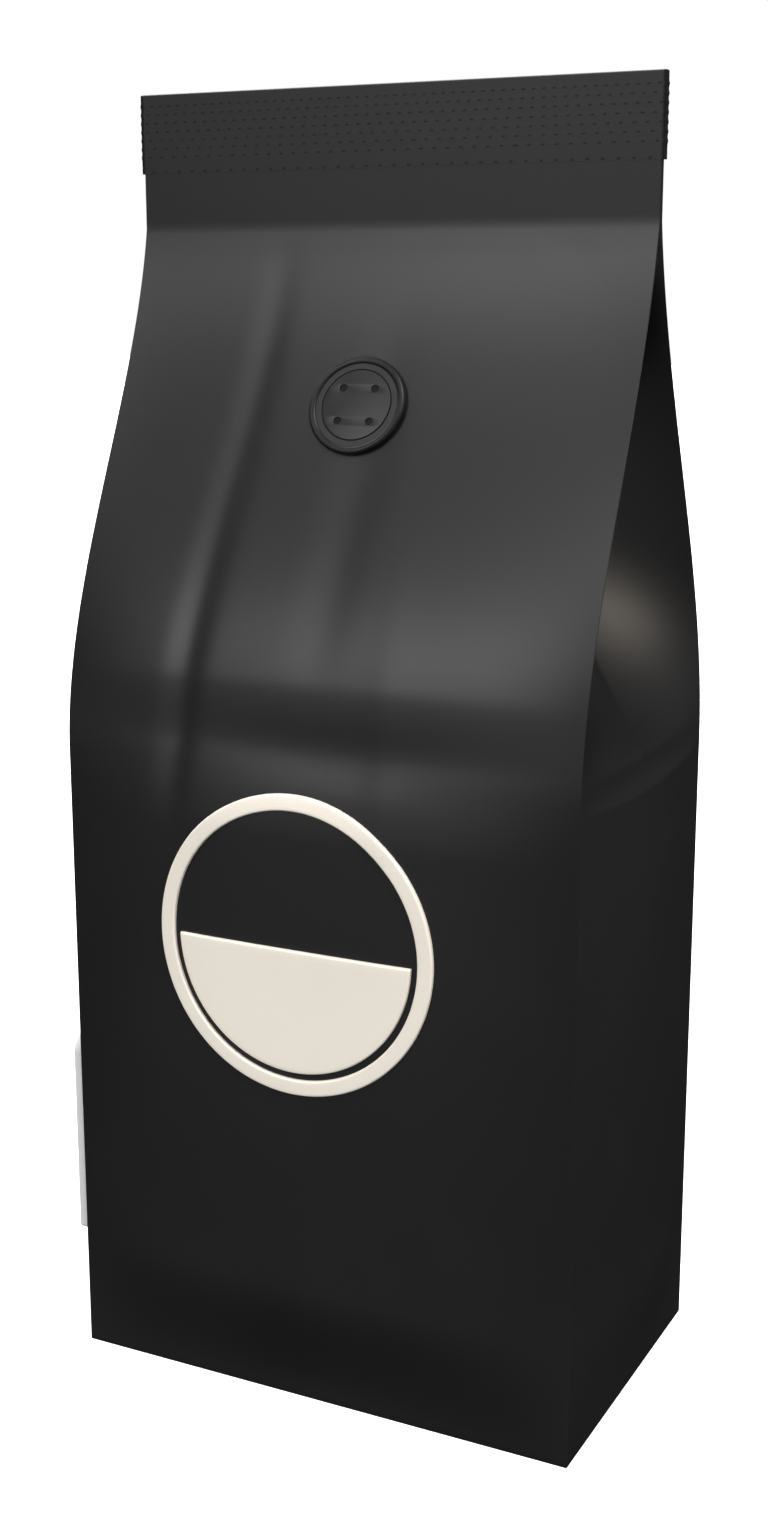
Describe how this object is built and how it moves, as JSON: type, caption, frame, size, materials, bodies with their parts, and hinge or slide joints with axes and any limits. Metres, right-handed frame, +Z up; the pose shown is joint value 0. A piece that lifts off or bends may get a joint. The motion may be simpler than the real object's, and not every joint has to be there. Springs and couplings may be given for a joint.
{
  "type": "coffee bag",
  "caption": "Shut side-gusset coffee bag in matte black film, with a crimped top seal, folded gussets, a degassing valve, a raised round print and a plain side label.",
  "frame": {"origin": "middle of the flat base, level with the surface the bag stands on", "axes": "+Z up towards the crimped seal; the front panel with the valve and the round print faces -Y; +X to the right seen from the front"},
  "size_m": [0.124, 0.0838, 0.283],
  "materials": {
    "film": "matte black laminate film with a soft sheen",
    "valve": "satin dark grey moulded plastic",
    "print": "matte cream, slightly raised",
    "label": "matte pale grey, plain"
  },
  "bodies": {
    "root": {"bag": "film", "valve_dish": "valve", "valve_disc": "valve", "print_border": "print", "print_field": "print", "side_label": "label"}
  },
  "joints": []
}
